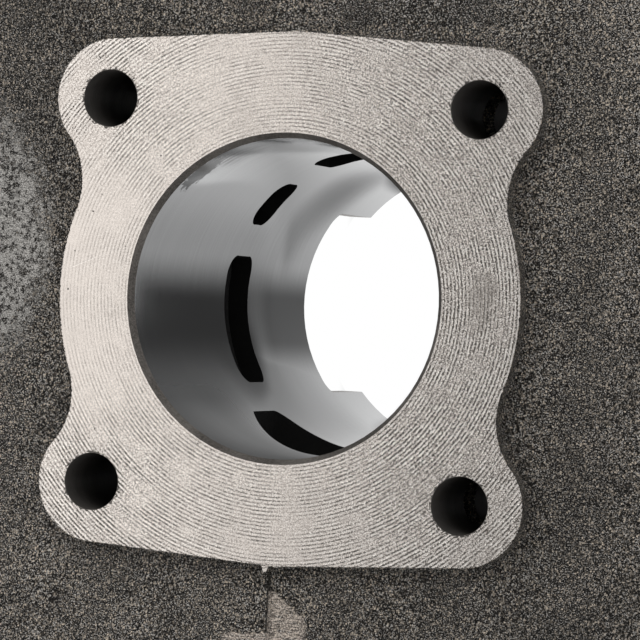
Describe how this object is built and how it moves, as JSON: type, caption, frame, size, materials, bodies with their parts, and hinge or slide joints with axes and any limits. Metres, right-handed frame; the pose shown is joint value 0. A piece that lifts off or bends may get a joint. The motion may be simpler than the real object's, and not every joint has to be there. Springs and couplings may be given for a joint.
{
  "type": "engine cylinder",
  "caption": "One-piece finned cast-iron cylinder of an air-cooled two-stroke engine, with stud holes, transfer ducts, a side exhaust flange and a slotted skirt.",
  "frame": {"origin": "on the bore axis, in the plane of the base face that seats on the crankcase", "axes": "+Z along the bore axis to the head face, -Y through the middle of the exhaust outlet, X across the mould's parting plane"},
  "size_m": [0.124, 0.128, 0.1028],
  "materials": {
    "casting": "rough black casting, with a turned light grey head face, a honed bore and machined joint faces"
  },
  "bodies": {
    "root": {"cylinder": "casting"}
  },
  "joints": []
}
